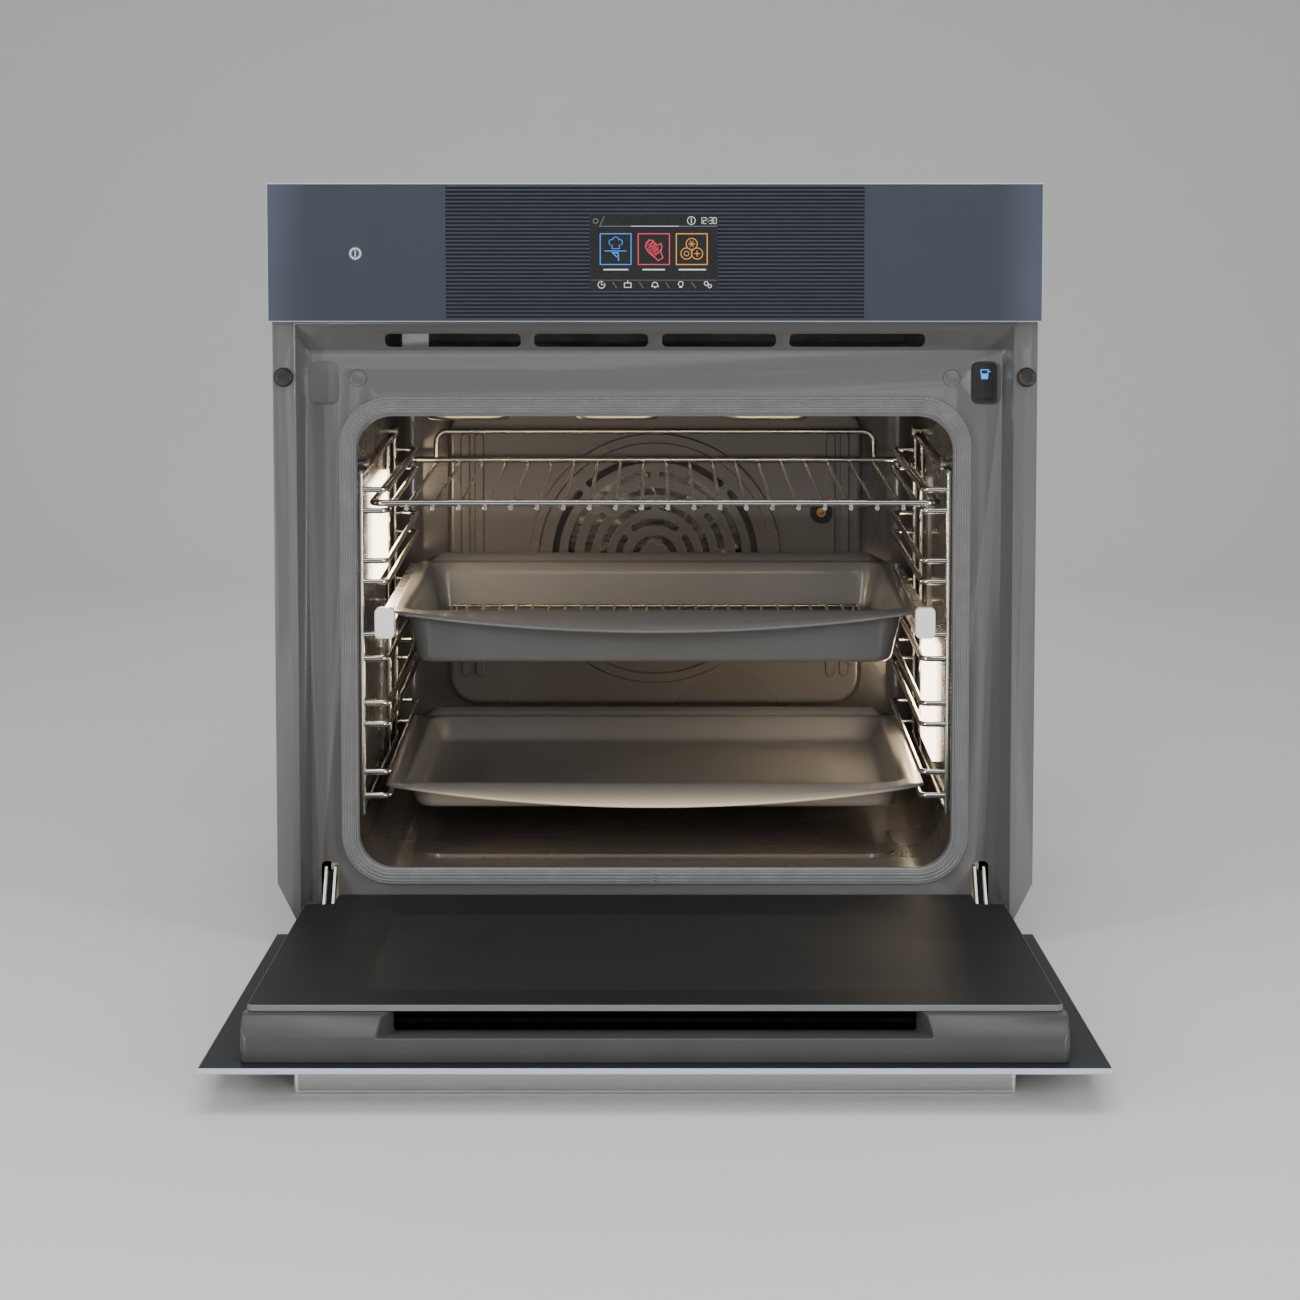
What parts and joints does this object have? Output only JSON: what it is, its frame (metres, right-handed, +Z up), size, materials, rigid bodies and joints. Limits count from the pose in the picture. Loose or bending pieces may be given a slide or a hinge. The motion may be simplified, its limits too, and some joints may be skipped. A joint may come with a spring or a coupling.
{
  "type": "wall oven",
  "caption": "Built-in wall oven with drop-down glass door, touch control panel, wire racks, telescopic rails and enamelled trays.",
  "frame": {"origin": "on the underside of the housing, at mid-width, in the plane of the cabinet front where the side flanges bear", "axes": "+X to the right seen from the front, +Y to the back into the cabinet, +Z up"},
  "size_m": [0.597, 1.0124, 0.5985],
  "materials": {
    "frame_enamel": "glossy vitreous enamel, warm mid grey",
    "cavity_enamel": "glossy vitreous enamel, dark brown grey",
    "tray_enamel": "semi-gloss enamel, dark grey",
    "galvanised": "galvanised sheet",
    "chrome_wire": "polished chrome plated wire",
    "steel": "bright steel",
    "handle_steel": "brushed stainless, polished edges",
    "blue_glass": "back-painted slate blue glass",
    "black_glass": "dark heat-reflecting glass",
    "clear_glass": "clear glass",
    "lamp_glass": "frosted lamp lens, lit",
    "dark_moulding": "dark grey satin moulding",
    "black_plastic": "satin black plastic",
    "plug_plastic": "dark grey domed plastic",
    "cap_plastic": "light grey coated end cap",
    "seal_fibre": "braided glass fibre rope",
    "mineral_wool": "mineral wool",
    "heater_sheath": "heat-blued sheath",
    "circuit_board": "circuit board",
    "display_glass": "colour display, dark",
    "motor_metal": "die cast",
    "brass_contact": "bright brass"
  },
  "bodies": {
    "oven": {"base_plate": "galvanised", "side_panels": "galvanised", "top_cover": "galvanised", "rear_cover": "galvanised", "cable_gland": "black_plastic", "terminal_block": "black_plastic", "cavity_supports": "galvanised", "front_frame": "frame_enamel", "screw_plugs": "plug_plastic", "water_inlet": "black_plastic", "door_gasket": "seal_fibre", "cavity_liner": "cavity_enamel", "lamp_lenses": "lamp_glass", "lamp_housings": "steel", "lamp_bulbs": "clear_glass", "fan_cover": "cavity_enamel", "probe_socket": "black_plastic", "probe_contact": "brass_contact", "ring_heater": "heater_sheath", "grill_heater": "heater_sheath", "bottom_heater": "heater_sheath", "insulation": "mineral_wool", "fan_motor": "motor_metal", "side_rack_left": "chrome_wire", "side_rack_right": "chrome_wire", "rack_studs": "steel", "rails_fixed": "steel", "panel_glass": "blue_glass", "panel_carrier": "black_plastic", "display_module": "display_glass", "power_sensor": "circuit_board", "control_board": "circuit_board", "air_duct": "galvanised", "duct_bracket": "galvanised", "blower_housing": "galvanised", "blower_motor": "motor_metal", "power_board": "circuit_board", "hinge_arms": "chrome_wire", "hinge_pins": "steel"},
    "door": {"door_outer_glass": "blue_glass", "door_inner_glass": "black_glass", "door_middle_panes": "clear_glass", "door_top_profile": "dark_moulding", "door_bottom_profile": "dark_moulding", "door_side_profiles": "dark_moulding", "hinge_channels": "galvanised", "hinge_dampers": "steel", "door_handle": "handle_steel", "handle_brackets": "handle_steel"},
    "shelf": {"wire_shelf": "chrome_wire", "shelf_stop": "chrome_wire"},
    "lower_tray": {"baking_tray": "tray_enamel"},
    "rail_middle": {"rails_middle": "steel"},
    "upper_tray": {"deep_tray": "tray_enamel", "rails_moving": "steel", "rail_caps": "cap_plastic"},
    "insert": {"tray_insert": "chrome_wire"},
    "hot_air_fan": {"fan_shaft": "steel", "fan_impeller": "steel"},
    "cooling_fan": {"blower_rotor": "motor_metal"}
  },
  "joints": [
    {"name": "door_hinge", "type": "hinge", "parent": "oven", "child": "door", "pos_m": [0, -0.0123, 0.006], "axis": [1, 0, 0], "range_deg": [-87.4, 0]},
    {"name": "shelf_slide", "type": "slide", "parent": "oven", "child": "shelf", "axis": [0, -1, 0], "range_m": [0, 0.3]},
    {"name": "lower_tray_slide", "type": "slide", "parent": "oven", "child": "lower_tray", "axis": [0, -1, 0], "range_m": [0, 0.3]},
    {"name": "upper_tray_slide", "type": "slide", "parent": "oven", "child": "upper_tray", "axis": [0, -1, 0], "range_m": [0, 0.3]},
    {"name": "rail_middle_slide", "type": "slide", "parent": "oven", "child": "rail_middle", "axis": [0, -1, 0], "range_m": [0, 0.15]},
    {"name": "insert_lift", "type": "slide", "parent": "upper_tray", "child": "insert", "axis": [0, 0, 1], "range_m": [0, 0.04]},
    {"name": "hot_air_fan_spin", "type": "hinge", "parent": "oven", "child": "hot_air_fan", "pos_m": [0, 0.44, 0.243], "axis": [0, 1, 0], "continuous": true},
    {"name": "cooling_fan_spin", "type": "hinge", "parent": "oven", "child": "cooling_fan", "pos_m": [0, 0.33, 0.49], "axis": [1, 0, 0], "continuous": true}
  ],
  "couplings": [
    {"joint": "rail_middle_slide", "follows": "upper_tray_slide", "ratio": 0.5}
  ]
}
